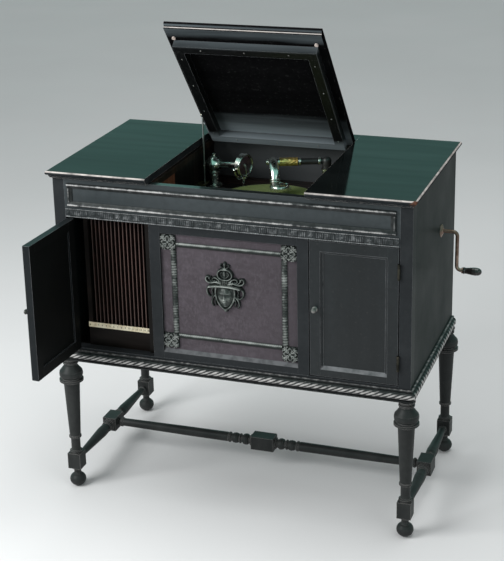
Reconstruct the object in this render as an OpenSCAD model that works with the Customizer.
// Console disc phonograph: a turned-leg cabinet with a lifting lid over the turntable,
// a record rack behind the left door, a cupboard behind the right door and a grille between.
// Millimetres. X runs to the right, Y to the back, Z up from the floor.
// The cabinet is drawn about its own centre and every piece is then moved by frame_shift.

/* [Cabinet] */
// Width of the top over its moulded edge
top_w = 1000; // [940:1:1100]
// Depth of the top over its moulded edge
top_d = 560; // [530:1:620]
// Height from the floor to the top
total_h = 940; // [900:1:1000]
// Thickness of the top and the lid
top_t = 19; // [16:0.5:24]
// How far the top stands out past the sides
over_side = 12; // [10:1:24]
// How far the top stands out past the front and the back
over_front = 20; // [12:1:26]
// Thickness of the side boards
side_t = 20; // [15:1:26]
// Thickness of the back panel
back_t = 12; // [8:1:16]
// Width of the front posts
post_w = 32; // [26:1:40]
// Height of the front bottom rail
rail_h = 40; // [34:1:50]
// Thickness of the bottom board
floor_t = 18; // [12:1:24]
// Thickness of the two partitions
part_t = 18; // [12:1:22]
// Distance from the middle to the inner face of each partition
part_x = 220; // [212:1:228]
// Thickness of the apron, frieze, doors and grille frame
front_t = 20; // [16:1:24]
// Height of the plain apron
apron_h = 83; // [70:1:95]
// Height of the carved frieze
frieze_h = 27; // [22:1:34]
// Projection of the base moulding
base_out = 13; // [8:1:15]
// Height of the base moulding
base_h = 34; // [26:1:38]

/* [Legs] */
// Height of the legs
leg_h = 394; // [360:1:420]
// Distance of a leg axis from the cabinet middle, sideways
leg_x = 476; // [460:1:482]
// Distance of a leg axis from the cabinet middle, front to back
leg_y = 250; // [238:1:256]
// Width of the square blocks of the legs
block_w = 38; // [34:1:44]
// Radius of the collar near the top of a leg
collar_r = 33.5; // [30:0.5:36]
// Height of the stretcher axis
stretch_z = 82; // [79:1:85]

/* [Lid] */
// Opening between the left and right top panels
lid_gap_w = 430; // [420:1:436]
// Clearance at each side of the lid
lid_clear = 1.5; // [1:0.5:3]
// Lid angle in the photographed pose
lid_angle = 50; // [30:1:60]
// Distance of the hinge line from the cabinet middle
hinge_y = 214; // [208:1:216]
// Depth of the frame under the lid
lid_frame_h = 22; // [16:1:26]
// Distance of the stay stud from the hinge line
stud_reach = 115; // [105:1:125]

/* [Doors] */
// Left door angle in the photographed pose
door_angle = 93; // [60:1:100]
// Gap between a door and the wood around it
door_gap = 3; // [2.5:0.5:4]
// Width of the door stiles and rails
stile_w = 28; // [22:1:34]
// Radius of the hinge barrels
barrel_r = 3.5; // [3:0.1:4]

/* [Works] */
// Depth of the turntable well below the top
well_depth = 123; // [118:1:130]
// Thickness of the motor board
board_t = 16; // [12:1:20]
// Turntable axis, sideways
table_x = 30; // [20:1:35]
// Turntable axis, front to back
table_y = -18; // [-25:1:-10]
// Radius of the turntable
table_r = 152; // [145:1:155]
// Radius of the record spindle
spindle_r = 3.6; // [3.5:0.05:3.7]
// Crank shaft axis, front to back
crank_y = 81; // [76:1:86]
// Depth of the crank shaft axis below the top
crank_drop = 195; // [194:1:198]
// Radius of the crank rod
rod_r = 5; // [4:0.5:6]
// Length of the crank arm
crank_arm_l = 108; // [100:1:130]
// Length of the crank grip
grip_l = 50; // [46:1:70]
// Tonearm pivot, sideways
arm_x = 152; // [148:1:154]
// Tonearm pivot, front to back
arm_y = 139; // [136:1:142]
// Tonearm length from pivot to the bend of the gooseneck
arm_len = 148; // [145:1:151]
// Tonearm angle in the photographed pose, from pointing straight left towards the back
arm_turn = -19; // [-21:1:-17]
// Height of the tonearm tube above the motor board
arm_rise = 100; // [98:1:102]

/* [Record rack] */
// Number of record slots
slots = 15; // [10:1:16]
// Thickness of the dividers
divider_t = 2.4; // [2:0.2:3]
// Depth of the rack
rack_d = 330; // [300:1:360]

/* [Fits] */
// Radial clearance of pins and arbors in their bores
run_c = 0.05; // [0.03:0.01:0.1]
// Glue line between members of one frame
glue = 0.1; // [0.05:0.05:0.2]
// Gap between parts that pass each other
pass_c = 0.5; // [0.4:0.1:1]

/* [Hidden] */
$fn = 64;
eps = 0.01;
body_x = top_w / 2 - over_side;
front_y = -(top_d / 2 - over_front);
back_y = top_d / 2 - over_front;
under_top = total_h - top_t;
post_x = body_x - post_w;
side_x = body_x - side_t;
inner_back = back_y - back_t;
fascia_y = front_y + front_t;
post_y = front_y + post_w;
floor_z = leg_h + rail_h;
frieze_z = under_top - apron_h - frieze_h;
board_z = under_top - well_depth;
crank_z = total_h - crank_drop;
arm_z = board_z + arm_rise;
lid_x = lid_gap_w / 2 - lid_clear;
hinge_z = total_h + barrel_r + 0.2;
hinge_gap = 2;
cleat_w = 11;
cleat_h = 16;
stay_x = -(part_x - 18);
stay_r = 2.5;
lid_frame_x = part_x - 24;
stud_drop = 31;
stud_y0 = hinge_y - stud_reach;
stud_z0 = hinge_z - stud_drop;
stay_y = hinge_y - stud_reach * cos(lid_angle) - stud_drop * sin(lid_angle);
stay_z = hinge_z + stud_reach * sin(lid_angle) - stud_drop * cos(lid_angle);
guide_z = board_z + 14;
door_w = post_x - part_x - door_gap - 1;
door_x0 = post_x - door_gap;
door_z0 = floor_z + door_gap;
door_z1 = frieze_z - 2;
door_pin_x = post_x - door_gap / 2;
door_pin_y = front_y - barrel_r - 0.3;
hinge_zs = [door_z0 + 62, door_z1 - 62];
hinge_len = 42;
grille_x = part_x - 2;
cloth_x = grille_x - 30;
cloth_z0 = door_z0 + 25;
cloth_z1 = door_z1 - 19;
rack_x1 = -(part_x + part_t);
rack_pitch = 11.3;
rack_x0 = rack_x1 - slots * rack_pitch;
rack_z0 = floor_z + 62;
rack_z1 = frieze_z + 4;
rack_y0 = fascia_y + 8;
ceiling_z = crank_z - 24;
felt_t = 2;
table_z = board_z + 22;
felt_z = table_z + felt_t;
grip_x0 = body_x + 62;
grip_x1 = grip_x0 + grip_l;
grip_z = crank_z - crank_arm_l;
crank_out = body_x + 44;

// Gear train: barrel drives the intermediate, which drives the spindle, which drives the governor
barrel_x = table_x - 84;
barrel_y = crank_y;
barrel_teeth = 60;
mid_pinion_teeth = 12;
barrel_mod = 2;
mid_teeth = 64;
spin_pinion_teeth = 16;
mid_mod = 1.5;
gov_wheel_teeth = 60;
gov_pinion_teeth = 12;
gov_mod = 1.25;
crown_teeth = 36;
crank_pinion_teeth = 12;
crown_mod = 2;
d_bm = barrel_mod * (barrel_teeth + mid_pinion_teeth) / 2;
d_ms = mid_mod * (mid_teeth + spin_pinion_teeth) / 2;
d_sg = gov_mod * (gov_wheel_teeth + gov_pinion_teeth) / 2;
d_bs = norm([table_x - barrel_x, table_y - barrel_y]);
ang_bs = atan2(table_y - barrel_y, table_x - barrel_x);
ang_b = acos((d_bm * d_bm + d_bs * d_bs - d_ms * d_ms) / (2 * d_bm * d_bs));
ang_bm = ang_bs + ang_b;
mid_x = barrel_x + d_bm * cos(ang_bm);
mid_y = barrel_y + d_bm * sin(ang_bm);
ang_ms = atan2(table_y - mid_y, table_x - mid_x);
ang_sg = -60;
gov_x = table_x + d_sg * cos(ang_sg);
gov_y = table_y + d_sg * sin(ang_sg);
crown_r = crown_mod * crown_teeth / 2;
crank_pinion_r = crown_mod * crank_pinion_teeth / 2;
crown_z = crank_z - crank_pinion_r;
plate_t = 6;
plate_low = board_z - board_t - 140;
plate_high = board_z - board_t - 22;
plate_x0 = barrel_x - 66;
plate_x1 = gov_x + 40;
plate_y0 = gov_y - 40;
plate_y1 = barrel_y + 66;
low_gear_z = plate_low + plate_t + 12;
arbor_r = 4;

// Points along an arc
function arc(cx, cy, r, a0, a1, n) =
    [for (i = [0:n]) [cx + r * cos(a0 + (a1 - a0) * i / n), cy + r * sin(a0 + (a1 - a0) * i / n)]];

// Whole box, used to bring the middle of the footprint of the whole piece to the frame origin
tip_y = door_pin_y - (door_w + door_gap / 2) * sin(door_angle)
    + (fascia_y - door_pin_y) * cos(door_angle);
left_x = -max(top_w / 2, leg_x + collar_r);
rear_y = max(top_d / 2, leg_y + collar_r);
frame_shift = [-(grip_x1 + left_x) / 2, -(tip_y + rear_y) / 2, 0];

// Helpers
module box(x0, x1, y0, y1, z0, z1) {
    translate([x0, y0, z0]) cube([x1 - x0, y1 - y0, z1 - z0]);
}
// Extrudes an outline drawn in Y and Z along X
module along_x(x0, x1) {
    translate([x0, 0, 0]) rotate([90, 0, 90]) linear_extrude(x1 - x0) children();
}
// Extrudes an outline drawn in X and Z along Y
module along_y(y0, y1) {
    translate([0, y1, 0]) rotate([90, 0, 0]) linear_extrude(y1 - y0) children();
}
module rod_x(x0, x1, y, z, r) {
    translate([x0, y, z]) rotate([0, 90, 0]) cylinder(h = x1 - x0, r = r);
}
module rod_y(x, y0, y1, z, r) {
    translate([x, y1, z]) rotate([90, 0, 0]) cylinder(h = y1 - y0, r = r);
}
module rod_z(x, y, z0, z1, r) {
    translate([x, y, z0]) cylinder(h = z1 - z0, r = r);
}
module both_sides() {
    children();
    mirror([1, 0, 0]) children();
}
module placed() {
    translate(frame_shift) children();
}
// Turns the lid from shut to the photographed angle
module lid_pose() {
    translate([0, hinge_y, hinge_z]) rotate([-lid_angle, 0, 0])
        translate([0, -hinge_y, -hinge_z]) children();
}
// Turns the left door from shut to the photographed angle
module door_pose() {
    translate([-door_pin_x, door_pin_y, 0]) rotate([0, 0, -door_angle])
        translate([door_pin_x, -door_pin_y, 0]) children();
}

// Cabinet
module side_left() {
    color("#1b1a19") placed() box(-body_x, -side_x, post_y, back_y, leg_h, under_top);
}
module side_right() {
    color("#1b1a19") placed() difference() {
        box(side_x, body_x, post_y, back_y, leg_h, under_top);
        rod_x(side_x - 1, body_x + 1, crank_y, crank_z, rod_r + 2);
    }
}
module front_frame() {
    color("#1b1a19") placed() {
        both_sides() box(post_x, body_x, front_y, post_y, leg_h, under_top);
        box(-post_x + glue, post_x - glue, front_y, post_y, leg_h, floor_z);
    }
}
module back_panel() {
    color("#2a2019") placed() box(-side_x, side_x, inner_back, back_y, leg_h, under_top);
}
module bottom_board() {
    color("#2a2019") placed() box(-side_x, side_x, post_y, inner_back, floor_z - floor_t, floor_z);
}
module partition_left() {
    color("#5a3a22") placed()
        box(-part_x - part_t, -part_x, fascia_y + pass_c, inner_back, floor_z, under_top);
}
module partition_right() {
    color("#5a3a22") placed() difference() {
        box(part_x, part_x + part_t, fascia_y + pass_c, inner_back, floor_z, under_top);
        rod_x(part_x - 1, part_x + part_t + 1, crank_y, crank_z, rod_r + 2);
    }
}
module apron() {
    color("#1b1a19") placed() box(-post_x, post_x, front_y, fascia_y, frieze_z, under_top - pass_c);
}
// Moulding outline, width across and height out of the face
stick_w = 14;
stick_pts = [[0, 0], [0, 3.5], [1.5, 6], [4, 7], [6.5, 6], [8, 4], [11, 3.5], [14, 2], [14, 0]];
module apron_moulding() {
    x1 = post_x - 10;
    z0 = frieze_z + frieze_h + 4;
    z1 = under_top - 15;
    color("#33312f") placed() {
        along_x(-x1, x1) polygon([for (p = stick_pts) [front_y - p[1], z0 + p[0]]]);
        along_x(-x1, x1) polygon([for (p = stick_pts) [front_y - p[1], z1 - p[0]]]);
        both_sides() translate([0, 0, z0 + stick_w + glue]) linear_extrude(z1 - z0 - 2 * stick_w - 2 * glue)
            polygon([for (p = stick_pts) [x1 - p[0], front_y - p[1]]]);
    }
}
module frieze_carving() {
    z0 = frieze_z + 2;
    z1 = frieze_z + frieze_h - 2;
    color("#33312f") placed() along_x(-post_x + 3, post_x - 3)
        polygon([[front_y, z0], [front_y - 2, z0], [front_y - 5, z0 + 4], [front_y - 5, z1 - 4],
            [front_y - 2, z1], [front_y, z1]]);
}
// Base moulding outline: distance out of the face and height above the lower edge
base_pts = concat([[0, 0], [base_out - 5, 0], [base_out - 5, base_h * 0.14]],
    arc(base_out - base_h * 0.32, base_h * 0.5, base_h * 0.32, -75, 75, 10),
    [[base_out - 7, base_h * 0.86], [base_out - 7, base_h], [0, base_h]]);
module base_moulding() {
    color("#33312f") placed() {
        along_x(-body_x - base_out, body_x + base_out)
            polygon([for (p = base_pts) [front_y - p[0], leg_h + p[1]]]);
        both_sides() along_y(front_y + glue, back_y)
            polygon([for (p = base_pts) [body_x + p[0], leg_h + p[1]]]);
    }
}
// Moulded edge of the top: distance in from the edge and height above the underside
edge_pts = concat([[9, 0], [9, 3], [7, 4.5], [7, top_t - 11.5]],
    arc(5.5, top_t - 5.5, 5.5, 270, 90, 10));
module top_panel() {
    intersection() {
        along_x(-top_w / 2 - 1, -lid_gap_w / 2) polygon(concat(
            [for (p = edge_pts) [-top_d / 2 + p[0], under_top + p[1]]],
            [for (i = [len(edge_pts) - 1:-1:0]) [top_d / 2 - edge_pts[i][0], under_top + edge_pts[i][1]]]));
        along_y(-top_d / 2 - 1, top_d / 2 + 1) polygon(concat(
            [for (p = edge_pts) [-top_w / 2 + p[0], under_top + p[1]]],
            [[-lid_gap_w / 2 + 1, total_h], [-lid_gap_w / 2 + 1, under_top]]));
    }
}
module top_left() {
    color("#141414") placed() top_panel();
}
module top_right() {
    color("#141414") placed() mirror([1, 0, 0]) top_panel();
}
module top_back() {
    color("#141414") placed() along_x(-lid_gap_w / 2, lid_gap_w / 2) polygon(concat(
        [[hinge_y + hinge_gap, under_top], [hinge_y + hinge_gap, total_h]],
        [for (i = [len(edge_pts) - 1:-1:0]) [top_d / 2 - edge_pts[i][0], under_top + edge_pts[i][1]]]));
}
// Upper end of a leg, radius and distance below the top of the leg
leg_cap_pts = [[22.5, 73], [25, 71], [collar_r, 67], [collar_r, 61], [29, 59], [28, 57], [32.5, 50],
    [33, 44], [31.5, 37], [25, 29], [19, 21], [17.5, 16], [21.5, 14], [21.5, 10], [17.5, 8], [18.5, 4],
    [23, 3], [23, 0]];
// Square block of a leg
block_z0 = 58;
block_z1 = 105;
// Leg outline from the floor up, radius and height; a square block is added to it
leg_pts = concat([[0, 0], [9, 0]],
    arc(5, 20, 18, -75, 66, 10),
    [[10, 41], [10, 50], [15, 54], [15, block_z0], [15, block_z1], [18, block_z1 + 1],
        [18, block_z1 + 6], [14, block_z1 + 8], [13, block_z1 + 13], [13, 146], [14.5, 151], [17.5, 152.5],
        [17.5, 157], [15.5, 158.5]],
    [for (p = leg_cap_pts) [p[0], leg_h - p[1]]], [[0, leg_h]]);
module leg_shape() {
    rotate_extrude() polygon(leg_pts);
    translate([-block_w / 2, -block_w / 2, block_z0]) cube([block_w, block_w, block_z1 - block_z0]);
}
module legs() {
    color("#1b1a19") placed() for (x = [-leg_x, leg_x]) for (y = [-leg_y, leg_y])
        translate([x, y, 0]) leg_shape();
}
// Half of a stretcher outline, distance from the middle block and radius
function spindle_pts(l) = [[0, 0], [0, 17], [5, 17], [6, 13], [12, 12], [14, 16], [18, 16], [20, 12],
    [34, 15], [52, 15.5], [l * 0.62, 12], [l - 16, 9], [l - 14, 12], [l - 9, 12], [l - 7, 9.5], [l, 9.5],
    [l, 0]];
mid_block = 40;
mid_block_l = 56;
side_run = leg_y - block_w / 2 - mid_block_l / 2;
module half_spindle(pts) {
    rotate_extrude() polygon([for (p = pts) [p[1], p[0]]]);
}
module side_stretchers() {
    color("#1b1a19") placed() both_sides() translate([leg_x, 0, stretch_z]) {
        translate([-mid_block / 2, -mid_block_l / 2, -mid_block / 2])
            cube([mid_block, mid_block_l, mid_block]);
        translate([0, mid_block_l / 2, 0]) rotate([-90, 0, 0]) half_spindle(spindle_pts(side_run));
        translate([0, -mid_block_l / 2, 0]) rotate([90, 0, 0]) half_spindle(spindle_pts(side_run));
    }
}
centre_block_l = 68;
// The same for the long stretcher, with two bulbs beside its block
function long_pts(l) = [[0, 0], [0, 17], [4, 17], [6, 13], [10, 12], [14, 15.5], [20, 16.5], [26, 15],
    [30, 11], [33, 11], [35, 14.5], [38, 14.5], [40, 11], [44, 14], [51, 15.5], [58, 14], [62, 11], [65, 11],
    [67, 15], [71, 15], [73, 13], [78, 14], [l * 0.5, 13.5], [l - 16, 11.5], [l - 14, 14], [l - 9, 14],
    [l - 7, 10.5], [l, 10.5], [l, 0]];
centre_run = leg_x - mid_block / 2 - centre_block_l / 2;
module centre_stretcher() {
    color("#1b1a19") placed() translate([0, 0, stretch_z]) {
        translate([-centre_block_l / 2, -mid_block / 2, -mid_block / 2])
            cube([centre_block_l, mid_block, mid_block]);
        both_sides() translate([centre_block_l / 2, 0, 0]) rotate([0, 90, 0])
            half_spindle(long_pts(centre_run));
    }
}
module cleats() {
    z1 = under_top - 4.5;
    color("#3a2a1c") placed() {
        box(-part_x, part_x, fascia_y, fascia_y + 12, z1 - cleat_h, z1);
        both_sides() box(part_x - cleat_w, part_x, fascia_y + 12 + glue, hinge_y - 6, z1 - cleat_h, z1);
        both_sides() box(part_x - 9, part_x, fascia_y + 40, inner_back - 40, board_z - board_t - 16,
            board_z - board_t);
    }
}
brake_x = table_x + 148;
brake_y = table_y - 147;
knob_edge = 50;
knob_x = -part_x + knob_edge;
knob_y = fascia_y + knob_edge;
module motor_board() {
    color("#4a2416") placed() difference() {
        box(-part_x, part_x, fascia_y + pass_c, inner_back, board_z - board_t, board_z);
        rod_z(table_x, table_y, board_z - board_t - 1, board_z + 1, 9);
        rod_z(arm_x, arm_y, board_z - board_t - 1, board_z + 1, 10);
        rod_z(brake_x, brake_y, board_z - board_t - 1, board_z + 1, 3 + run_c);
        rod_z(knob_x, knob_y, board_z - board_t - 1, board_z + 1, 3 + run_c);
        box(stay_x - 5, stay_x + 5, stay_y - 18, stay_y + 22, board_z - board_t - 1, board_z + 1);
    }
}

// Lid
module lid_panel() {
    color("#141414") placed() lid_pose() along_x(-lid_x, lid_x) polygon(concat(
        [for (p = edge_pts) [-top_d / 2 + p[0], under_top + p[1]]],
        [[hinge_y - hinge_gap, total_h], [hinge_y - hinge_gap, under_top]]));
}
frame_w = 26;
frame_y0 = fascia_y + 16;
frame_y1 = hinge_y - 8;
module lid_frame() {
    z0 = under_top - lid_frame_h;
    color("#1b1a19") placed() lid_pose() {
        box(-lid_frame_x, lid_frame_x, frame_y0, frame_y0 + frame_w, z0, under_top);
        box(-lid_frame_x, lid_frame_x, frame_y1 - frame_w, frame_y1, z0, under_top);
        both_sides() box(lid_frame_x - frame_w, lid_frame_x, frame_y0 + frame_w + glue,
            frame_y1 - frame_w - glue, z0, under_top);
    }
}
module lid_buffers() {
    color("#d8d2c2") placed() lid_pose() both_sides()
        rod_z(part_x - 26, fascia_y + 6, under_top - 4, under_top, 5);
}
lid_hinge_x = 145;
lid_knuckle = 9;
lid_leaf_t = 1.2;
stud_r = 3;
module lid_hardware() {
    color("#8d7a4f") placed() lid_pose() {
        both_sides() translate([lid_hinge_x, 0, 0]) lid_leaf();
        rod_x(stay_x - 3, -lid_frame_x, stud_y0, stud_z0, stud_r);
        rod_x(stay_x - 4.5, stay_x - 3, stud_y0, stud_z0, 5);
    }
}
module lid_leaf() {
    y0 = hinge_y - hinge_gap;
    k = lid_knuckle - 0.3;
    difference() {
        union() {
            rod_x(-k, k, hinge_y, hinge_z, barrel_r);
            box(-24, 24, y0, y0 + lid_leaf_t, under_top + 3, total_h - 0.5);
            box(-k, k, y0, y0 + lid_leaf_t, total_h - 0.5, hinge_z);
        }
        rod_x(-30, 30, hinge_y, hinge_z, 1.5 + run_c);
    }
}
module hinges_fixed() {
    color("#8d7a4f") placed() {
        both_sides() translate([lid_hinge_x, 0, 0]) {
            rod_x(-25, 25, hinge_y, hinge_z, 1.5);
            for (s = [-1, 1]) translate([s * (25 + lid_knuckle) / 2, 0, 0]) {
                rod_x(-(25 - lid_knuckle) / 2, (25 - lid_knuckle) / 2, hinge_y, hinge_z, barrel_r);
                box(-(25 - lid_knuckle) / 2, (25 - lid_knuckle) / 2, hinge_y + hinge_gap - lid_leaf_t,
                    hinge_y + hinge_gap, total_h - 0.5, hinge_z);
            }
            box(-24, 24, hinge_y + hinge_gap - lid_leaf_t, hinge_y + hinge_gap, under_top + 3,
                total_h - 0.5);
        }
        both_sides() for (z = hinge_zs) translate([0, 0, z]) door_hinge_fixed();
    }
}
// Half hinges of the doors, drawn for the right door
door_leaf_t = 1.2;
door_knuckle = 8;
module door_hinge_fixed() {
    rod_z(door_pin_x, door_pin_y, -hinge_len / 2, hinge_len / 2, 1.5);
    for (s = [-1, 1]) translate([0, 0, s * (hinge_len / 2 + door_knuckle) / 2]) {
        h = (hinge_len / 2 - door_knuckle) / 2;
        rod_z(door_pin_x, door_pin_y, -h, h, barrel_r);
        box(post_x - door_leaf_t, post_x, door_pin_y + 1, front_y + 0.5, -h, h);
    }
    box(post_x - door_leaf_t, post_x, front_y + 0.5, fascia_y - 2, -hinge_len / 2, hinge_len / 2);
}
module door_hinge_moving() {
    difference() {
        union() {
            rod_z(door_pin_x, door_pin_y, -door_knuckle + 0.3, door_knuckle - 0.3, barrel_r);
            box(door_x0, door_x0 + door_leaf_t, door_pin_y + 1, front_y + 0.5, -door_knuckle + 0.3,
                door_knuckle - 0.3);
            box(door_x0, door_x0 + door_leaf_t, front_y + 0.5, fascia_y - 2, -hinge_len / 2, hinge_len / 2);
        }
        rod_z(door_pin_x, door_pin_y, -hinge_len, hinge_len, 1.5 + run_c);
    }
}
module stay_rod() {
    color("#9a9790") placed() difference() {
        union() {
            rod_x(stay_x - stay_r, stay_x + stay_r, stay_y, stay_z, 6);
            rod_z(stay_x, stay_y, guide_z - 24, stay_z - 3.5, stay_r);
        }
        rod_x(stay_x - 4, stay_x + 4, stay_y, stay_z, stud_r + run_c);
    }
}
module stay_guide() {
    color("#8d7a4f") placed() difference() {
        box(-part_x, stay_x + 8, stay_y - 20, stay_y + 14, guide_z - 2, guide_z + 2);
        box(stay_x - 3.2, stay_x + 3.2, stay_y - 13, stay_y + 6, guide_z - 3, guide_z + 3);
    }
}

// Doors, drawn for the right door
module door_wood() {
    x0 = door_x0 - door_w;
    box(x0, x0 + stile_w, front_y, fascia_y, door_z0, door_z1);
    box(door_x0 - stile_w, door_x0, front_y, fascia_y, door_z0, door_z1);
    box(x0 + stile_w + glue, door_x0 - stile_w - glue, front_y, fascia_y, door_z1 - stile_w, door_z1);
    along_x(x0 + stile_w + glue, door_x0 - stile_w - glue) polygon([[front_y, door_z0], [fascia_y, door_z0],
        [fascia_y, door_z0 + stile_w], [front_y + 7, door_z0 + stile_w], [front_y, door_z0 + stile_w - 9]]);
    box(x0 + stile_w + glue, door_x0 - stile_w - glue, front_y + 7, fascia_y - 5, door_z0 + stile_w + glue,
        door_z1 - stile_w - glue);
}
knob_pts = [[0, 0], [7.5, 0], [7.5, 1.5], [3.5, 3], [3, 7], [5, 8.5], [7, 11], [7, 13], [5, 15.5],
    [0, 16.5]];
module door_knob() {
    translate([door_x0 - door_w + stile_w / 2, front_y, (door_z0 + door_z1) / 2]) rotate([90, 0, 0])
        rotate_extrude() polygon(knob_pts);
}
module right_door() {
    color("#1b1a19") placed() door_wood();
}
module right_door_knob() {
    color("#3a3020") placed() door_knob();
}
module right_door_leaves() {
    color("#8d7a4f") placed() for (z = hinge_zs) translate([0, 0, z]) door_hinge_moving();
}
module left_door() {
    color("#1b1a19") placed() door_pose() mirror([1, 0, 0]) door_wood();
}
module left_door_knob() {
    color("#3a3020") placed() door_pose() mirror([1, 0, 0]) door_knob();
}
module left_door_leaves() {
    color("#8d7a4f") placed() door_pose() mirror([1, 0, 0])
        for (z = hinge_zs) translate([0, 0, z]) door_hinge_moving();
}

// Grille
module grille_frame() {
    color("#1b1a19") placed() {
        both_sides() box(cloth_x, grille_x, front_y, fascia_y, floor_z, frieze_z);
        box(-cloth_x + glue, cloth_x - glue, front_y, fascia_y, cloth_z1, frieze_z);
        along_x(-cloth_x + glue, cloth_x - glue) polygon([[front_y, floor_z], [fascia_y, floor_z],
            [fascia_y, cloth_z0], [front_y + 7, cloth_z0], [front_y, cloth_z0 - 10]]);
    }
}
cloth_y = front_y + 7;
module grille_board() {
    color("#3a2a1c") placed() difference() {
        box(-cloth_x, cloth_x, cloth_y + 1, fascia_y - 5, cloth_z0, cloth_z1);
        both_sides() box(34, cloth_x - 50, cloth_y, fascia_y, cloth_z0 + 56, cloth_z1 - 46);
    }
}
module grille_cloth() {
    color("#6b5357") placed() box(-cloth_x, cloth_x, cloth_y, cloth_y + 1, cloth_z0, cloth_z1);
}
rosette_w = 42;
rosette_x = cloth_x - rosette_w / 2 - 1;
rosette_z0 = cloth_z0 + rosette_w / 2 + 4;
rosette_z1 = cloth_z1 - rosette_w / 2 - 3;
stick_r = 6;
stick_z0 = rosette_z0 + 15;
stick_z1 = rosette_z1 - stick_r;
module grille_mouldings() {
    half = arc(0, 0, stick_r, 90, 270, 12);
    color("#33312f") placed() {
        for (z = [stick_z0, stick_z1]) along_x(-rosette_x + 23, rosette_x - 23)
            polygon([for (p = half) [cloth_y + p[0], z + p[1]]]);
        both_sides() translate([cloth_x - 35.5, 0, rosette_z0 + 24])
            linear_extrude(rosette_z1 - rosette_z0 - 48)
            polygon([for (p = arc(0, 0, 1, 180, 360, 12)) [6.5 * p[0], cloth_y + 5 * p[1]]]);
    }
}
module rosettes() {
    color("#47453d") placed() both_sides() for (z = [rosette_z0, rosette_z1])
        translate([rosette_x, cloth_y, z]) rotate([90, 0, 0]) {
            translate([-rosette_w / 2, -rosette_w / 2, 0]) cube([rosette_w, rosette_w, 4]);
            rotate_extrude() polygon([[0, 3], [14, 3], [14, 5], [9, 7], [5, 6], [4, 8], [0, 8.5]]);
        }
}
mask_up = 70;
mask_down = 70;
// Share of the spare room that lies above the mask
mask_share = 0.26;
mask_spare = stick_z1 - stick_z0 - 2 * stick_r - mask_up - mask_down;
mask_z = stick_z1 - stick_r - mask_share * mask_spare - mask_up;
// Place of the mask across the grille, a little left of the middle
mask_x = -9;
// Right half of the mask's outline, from the chin up
mask_half = [[14, -66], [24, -54], [34, -58], [41, -46], [40, -32], [50, -28], [54, -12], [50, 2], [55, 24],
    [42, 19], [25, 20], [22, 34], [21, 48], [13, 60], [5, mask_up]];
mask_pts = concat([[0, -mask_down]], mask_half,
    [for (i = [len(mask_half) - 1:-1:0]) [-mask_half[i][0], mask_half[i][1]]]);
face_drop = 28;
module mask() {
    color("#47453d") placed() translate([mask_x, cloth_y, mask_z]) rotate([90, 0, 0]) {
        linear_extrude(7) polygon(mask_pts);
        translate([0, -face_drop, 0]) rotate_extrude()
            polygon([[0, 6], [24, 6], [22, 10], [17, 14], [10, 17], [0, 18]]);
    }
}

// Record rack
module rack_case() {
    y1 = rack_y0 + rack_d;
    x0 = rack_x0 + glue;
    color("#3a2a1c") placed() {
        box(rack_x0 - 12, rack_x0, rack_y0, y1, floor_z, rack_z1 + 8);
        box(x0, rack_x1, rack_y0, rack_y0 + 12, floor_z, rack_z0 - 8 - glue);
        box(x0, rack_x1, y1 - 12, y1, floor_z, rack_z0 - 8 - glue);
        box(x0, rack_x1, rack_y0, y1, rack_z0 - 8, rack_z0);
        box(x0, rack_x1, y1 - 8, y1, rack_z0 + glue, rack_z1 - glue);
        box(x0, rack_x1, rack_y0, y1, rack_z1, rack_z1 + 8);
    }
}
module record_dividers() {
    color("#6a4630") placed() for (i = [1:slots - 1]) translate([rack_x0 + i * rack_pitch, 0, 0])
        box(-divider_t / 2, divider_t / 2, rack_y0 + 1, rack_y0 + rack_d - 8, rack_z0, rack_z1);
}
module index_strip() {
    color("#cfc7a8") placed() box(rack_x0 - 12, rack_x1, rack_y0 - 2, rack_y0, rack_z0 - 8, rack_z0 + 6);
}

// Turntable
module turntable() {
    color("#3c3c3a") placed() translate([table_x, table_y, table_z]) rotate_extrude() polygon([
        [5 + run_c, -18], [14, -18], [16, -4], [table_r - 5, -4], [table_r - 5, -13], [table_r - 2, -14],
        [table_r, -12], [table_r, -2], [table_r - 2, 0], [5 + run_c, 0]]);
}
module felt() {
    color("#9fa25a") placed() translate([table_x, table_y, table_z]) difference() {
        cylinder(h = felt_t, r = table_r - 2);
        translate([0, 0, -1]) cylinder(h = felt_t + 2, r = 6);
    }
}
// Straight-sided gear outline with a tooth centred on the angle turn
function gear_pts(teeth, m, turn) = [for (i = [0:teeth - 1]) for (k = [0:3])
    let (a = turn + i * 360 / teeth,
        r = m * teeth / 2 + (k == 0 || k == 3 ? -1.15 * m : 0.8 * m),
        half = m * PI * 0.21 + (k == 0 || k == 3 ? 1.15 : -0.8) * m * tan(22),
        s = k < 2 ? -1 : 1,
        b = a + s * half / r * 180 / PI)
    [r * cos(b), r * sin(b)]];
module gear(teeth, m, turn, z0, z1) {
    translate([0, 0, z0]) linear_extrude(z1 - z0) polygon(gear_pts(teeth, m, turn));
}
z_wheel = low_gear_z;
z_barrel = low_gear_z + 16;
z_gov = low_gear_z + 30;
module spindle() {
    color("#9a9790") placed() translate([table_x, table_y, 0]) rotate_extrude() polygon([[0, plate_low - 2],
        [5, plate_low - 2], [5, table_z], [spindle_r, table_z], [spindle_r, felt_z + 15], [2, felt_z + 17],
        [0, felt_z + 17.5]]);
}
module spindle_gears() {
    color("#9c8a4a") placed() translate([table_x, table_y, 0]) difference() {
        union() {
            gear(spin_pinion_teeth, mid_mod, ang_ms + 180 + 180 / spin_pinion_teeth,
                z_wheel - 2, z_wheel + 8);
            gear(gov_wheel_teeth, gov_mod, ang_sg, z_gov, z_gov + 5);
        }
        rod_z(0, 0, z_wheel - 3, z_gov + 6, 5 + run_c);
    }
}
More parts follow.
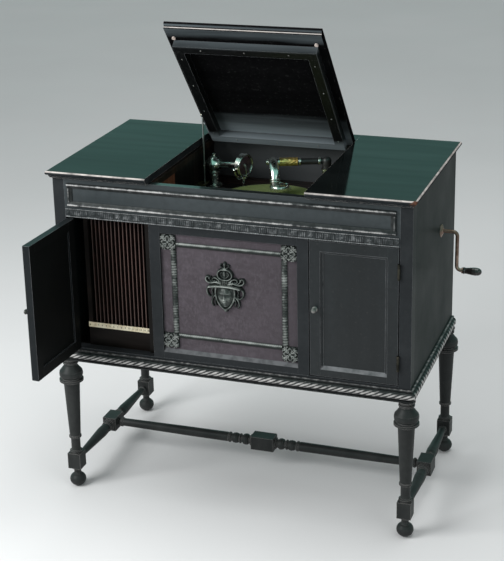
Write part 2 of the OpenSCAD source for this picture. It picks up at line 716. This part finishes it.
module spring_barrel() {
    color("#9c8a4a") placed() translate([barrel_x, barrel_y, 0]) difference() {
        union() {
            gear(barrel_teeth, barrel_mod, ang_bm, z_barrel, z_barrel + 8);
            rod_z(0, 0, z_barrel + 8, crown_z - 12, 52);
        }
        rod_z(0, 0, z_barrel - 1, crown_z, 5 + run_c);
        rod_z(0, 0, z_barrel + 10, crown_z - 14, 48);
    }
}
module intermediate_gear() {
    color("#9c8a4a") placed() translate([mid_x, mid_y, 0]) {
        rod_z(0, 0, plate_low - 2, plate_high + plate_t + 2, arbor_r);
        gear(mid_pinion_teeth, barrel_mod, ang_bm + 180 + 180 / mid_pinion_teeth,
            z_barrel - 2, z_barrel + 10);
        gear(mid_teeth, mid_mod, ang_ms, z_wheel, z_wheel + 6);
    }
}
// Length of the governor springs
gov_l = 48;
module governor() {
    color("#9c8a4a") placed() translate([gov_x, gov_y, 0]) {
        rod_z(0, 0, plate_low - 2, plate_high + plate_t + 2, 3);
        gear(gov_pinion_teeth, gov_mod, ang_sg + 180 + 180 / gov_pinion_teeth, z_gov - 3, z_gov + 8);
        rod_z(0, 0, z_gov + 12, z_gov + 16, 16);
        rod_z(0, 0, z_gov + 16, z_gov + 22, 9);
        rod_z(0, 0, z_gov + 10 + gov_l, z_gov + 16 + gov_l, 9);
        for (a = [0, 120, 240]) rotate([0, 0, a]) {
            box(8, 9, -3, 3, z_gov + 16, z_gov + 16 + gov_l);
            translate([14.5, 0, z_gov + 16 + gov_l / 2]) sphere(r = 6);
        }
    }
}
// Crown wheel with upright teeth, wound by the crank pinion above it
module winding_arbor() {
    tooth_l = 9;
    half = crown_mod * PI * 0.2;
    color("#9c8a4a") placed() translate([barrel_x, barrel_y, 0]) {
        rod_z(0, 0, plate_low - 2, plate_high + plate_t + 2, 5);
        rod_z(0, 0, crown_z - 9, crown_z - 2.4, crown_r + 5);
        for (i = [0:crown_teeth - 1]) rotate([0, 0, (i + 0.5) * 360 / crown_teeth])
            translate([0, 0, crown_z]) along_x(crown_r - tooth_l / 2, crown_r + tooth_l / 2)
            polygon([[-half - 0.9, -2.5], [half + 0.9, -2.5], [half - 0.7, 1.6], [-half + 0.7, 1.6]]);
    }
}
shaft_x0 = barrel_x + crown_r - 8;
bend = 12;
module crank() {
    color("#a08d7a") placed() {
        rod_x(shaft_x0, crank_out - bend, crank_y, crank_z, rod_r);
        translate([barrel_x + crown_r - 4, crank_y, crank_z]) rotate([90, 0, 90]) linear_extrude(8)
            polygon(gear_pts(crank_pinion_teeth, crown_mod, -90));
        translate([crank_out - bend, crank_y, crank_z - bend]) rotate([90, 0, 0])
            rotate_extrude(angle = 90) translate([bend, 0]) circle(r = rod_r);
        rod_z(crank_out, crank_y, grip_z + bend, crank_z - bend, rod_r);
        translate([crank_out + bend, crank_y, grip_z + bend]) rotate([90, 0, 0]) rotate([0, 0, 180])
            rotate_extrude(angle = 90) translate([bend, 0]) circle(r = rod_r);
        rod_x(crank_out + bend, grip_x0 - 4, crank_y, grip_z, rod_r);
        rod_x(grip_x0 - 4, grip_x0 - 0.5, crank_y, grip_z, 8);
        rod_x(grip_x0 - 0.5, grip_x1 - 7, crank_y, grip_z, 4);
    }
}
module crank_grip() {
    l = grip_l;
    color("#151210") placed() translate([grip_x0, crank_y, grip_z]) rotate([0, 90, 0]) rotate_extrude()
        polygon([[4 + run_c, 0], [9, 0], [9.5, 3], [8, 6], [8.5, 12], [10.5, l * 0.5], [11, l - 16],
            [10, l - 8], [7, l - 2.5], [3, l], [0, l], [0, l - 6], [4 + run_c, l - 6]]);
}
module escutcheon() {
    color("#8d7a4f") placed() translate([body_x, crank_y, crank_z]) rotate([0, 90, 0]) rotate_extrude()
        polygon([[rod_r + run_c, 0], [18, 0], [18, 1.5], [15, 3], [10, 3.5], [9, 6], [rod_r + run_c, 6]]);
}
module motor_frame() {
    posts = [[plate_x0 + 10, plate_y0 + 10], [plate_x1 - 10, plate_y0 + 10], [plate_x0 + 10, plate_y1 - 10],
        [plate_x1 - 10, plate_y1 - 10]];
    axes = [[table_x, table_y, 5], [barrel_x, barrel_y, 5], [mid_x, mid_y, arbor_r], [gov_x, gov_y, 3]];
    color("#4b4d4c") placed() difference() {
        union() {
            box(plate_x0, plate_x1, plate_y0, plate_y1, plate_low, plate_low + plate_t);
            box(plate_x0, plate_x1, plate_y0, plate_y1, plate_high, plate_high + plate_t);
            box(6, 18, crank_y - 11, crank_y + 11, crank_z - 11, plate_high);
            for (p = posts) {
                rod_z(p[0], p[1], plate_low, plate_high, 6);
                rod_z(p[0], p[1], plate_high, board_z - board_t, 8);
            }
        }
        for (a = axes) rod_z(a[0], a[1], plate_low - 3, plate_high + 20, a[2] + run_c);
        rod_x(0, 24, crank_y, crank_z, rod_r + run_c);
    }
}

// Tonearm
pillar_h = arm_rise - 21;
module tonearm_base() {
    color("#a5a39c") placed() translate([arm_x, arm_y, board_z]) rotate_extrude()
        polygon([[10, 0], [20, 0], [20, 3], [17, 5], [13, 7], [13, pillar_h - 5], [15, pillar_h - 4],
            [15, pillar_h], [10, pillar_h]]);
}
// Puts a piece drawn along X from the pivot into the photographed direction
module arm_pose() {
    translate([arm_x, arm_y, arm_z]) rotate([0, 0, 180 - arm_turn]) children();
}
arm_r = 9;
sleeve_r = 11;
sleeve_l = 50;
neck_l = 18;
sleeve_x1 = arm_len - neck_l;
sleeve_x0 = sleeve_x1 - sleeve_l;
neck_r = 8;
module tonearm() {
    drop = board_z + pillar_h + pass_c - arm_z;
    color("#1d1c1b") placed() arm_pose() difference() {
        union() {
            rod_z(0, 0, drop - 20, drop, 10 - run_c);
            rod_z(0, 0, drop, 0, 13);
            sphere(r = 13);
            rod_x(0, sleeve_x0, 0, 0, arm_r);
            rod_x(sleeve_x0, sleeve_x1, 0, 0, sleeve_r);
        }
        rod_z(0, 0, drop - 21, 0, 7);
        rod_x(0, sleeve_x1 - 20, 0, 0, 6);
        rod_x(sleeve_x1 - 20, sleeve_x1 + 1, 0, 0, neck_r + run_c);
    }
}
// Rod from one point to another
module rod_between(p, q, r) {
    d = q - p;
    translate(p) rotate([0, acos(d[2] / norm(d)), atan2(d[1], d[0])]) cylinder(h = norm(d), r = r);
}
// Gooseneck from the end of the arm over and down to the horizontal sound box
disc_r = 27;
disc_z = felt_z + 30 - arm_z;
goose_r = 13;
goose_ball_r = 13.4;
goose = [[arm_len, 0, 0], [arm_len - 1, 24, 2], [arm_len - 3, 50, -14], [arm_len - 4, 62, disc_z - 6]];
module reproducer() {
    color("#a5a39c") placed() arm_pose() {
        rod_x(sleeve_x1 - 17, sleeve_x1, 0, 0, neck_r);
        rod_x(sleeve_x1, arm_len, 0, 0, 9.5);
        for (i = [0:2]) {
            translate(goose[i]) sphere(r = goose_ball_r);
            rod_between(goose[i], goose[i + 1], goose_r);
        }
        translate([arm_len - 16, 65, disc_z]) rotate_extrude()
            polygon([[0, -25.5], [0.6, -25], [1.2, -21], [3, -20], [3.5, -14], [24, -14],
                [disc_r, -12], [disc_r, -3], [24, -1], [12, 0], [0, 0]]);
    }
}
spare_rise = 74;
ball_rise = 60;
spare_p = [-87, 124, board_z + spare_rise];
spare_ball = [-187, 155, board_z + ball_rise];
spare_turn = -20;
module spare_soundbox() {
    color("#a5a39c") placed() {
        translate(spare_p) rotate([0, 0, spare_turn]) rotate([0, 90, 0]) rotate_extrude()
            polygon([[0, -8], [28, -8], [34, -5], [34, 6], [32, 8], [27, 8], [26, 4], [6, 4], [6, 6],
                [0, 6]]);
        translate([spare_p[0], spare_p[1], board_z]) rotate_extrude()
            polygon([[0, 0], [16, 0], [16, 2], [8, 5], [5, 8], [5, 34], [8, 36], [8, 41], [0, 43]]);
        rod_between(spare_p - 7 * [cos(spare_turn), sin(spare_turn), 0], spare_ball, 8);
        translate(spare_ball) sphere(r = 25);
        translate([spare_ball[0], spare_ball[1], board_z]) rotate_extrude()
            polygon([[0, 0], [24, 0], [24, 2], [18, 5], [14, 7], [13, 30], [16, 34], [16, 40],
                [0, ball_rise]]);
        translate(spare_ball + [0, 0, 23]) rotate_extrude()
            polygon([[0, 0], [4, 0], [3, 4], [6, 6], [6, 9], [4, 10], [0, 10]]);
    }
}
// Sound horn from the tonearm base down to the back of the grille
throat_z = plate_low - 8;
mouth_x = cloth_x - 8;
mouth_z0 = cloth_z0 + 6;
module horn_solid(inset) {
    hull() {
        translate([arm_x - 20 + inset, arm_y + 22 - inset, throat_z - 44 + inset])
            cube([40 - 2 * inset, 2, 40 - 2 * inset]);
        translate([-mouth_x + inset, fascia_y + 1 - inset / 4, mouth_z0 + inset])
            cube([2 * (mouth_x - inset), 2, throat_z - 8 - mouth_z0 - 2 * inset]);
    }
}
module horn() {
    color("#3c3c3a") placed() difference() {
        union() {
            horn_solid(0);
            rod_z(arm_x, arm_y, throat_z - 24, board_z - board_t, 14);
        }
        horn_solid(4);
        rod_z(arm_x, arm_y, throat_z - 24, board_z, 10);
    }
}

// Controls on the motor board
pad_a = -33;
pad_p = [table_x + (table_r + 5) * cos(pad_a), table_y + (table_r + 5) * sin(pad_a)];
brake_a = atan2(pad_p[1] - brake_y, pad_p[0] - brake_x);
brake_l = norm(pad_p - [brake_x, brake_y]);
module brake_lever() {
    z0 = table_z - 10;
    color("#a5a39c") placed() translate([brake_x, brake_y, 0]) rotate([0, 0, brake_a]) {
        rod_z(0, 0, board_z - board_t, z0, 3);
        rod_z(0, 0, board_z + 0.3, z0, 6);
        box(-30, brake_l, -4, 4, z0, z0 + 4);
        rod_z(brake_l, 0, z0 - 3, z0 + 7, 4);
        rod_z(-30, 0, z0, z0 + 12, 5);
    }
}
module speed_knob() {
    color("#a5a39c") placed() translate([knob_x, knob_y, 0]) {
        rod_z(0, 0, board_z - board_t, board_z + 0.5, 3);
        translate([0, 0, board_z + 0.5]) rotate_extrude()
            polygon([[0, 0], [14, 0], [14, 3], [10, 5], [9, 11], [7, 12], [0, 12]]);
    }
}

side_left();
side_right();
front_frame();
back_panel();
bottom_board();
partition_left();
partition_right();
apron();
apron_moulding();
frieze_carving();
base_moulding();
top_left();
top_right();
top_back();
legs();
side_stretchers();
centre_stretcher();
cleats();
motor_board();
lid_panel();
lid_frame();
lid_buffers();
lid_hardware();
hinges_fixed();
stay_rod();
stay_guide();
right_door();
right_door_knob();
right_door_leaves();
left_door();
left_door_knob();
left_door_leaves();
grille_frame();
grille_board();
grille_cloth();
grille_mouldings();
rosettes();
mask();
rack_case();
record_dividers();
index_strip();
turntable();
felt();
spindle();
spindle_gears();
spring_barrel();
intermediate_gear();
governor();
winding_arbor();
crank();
crank_grip();
escutcheon();
motor_frame();
tonearm_base();
tonearm();
reproducer();
spare_soundbox();
horn();
brake_lever();
speed_knob();
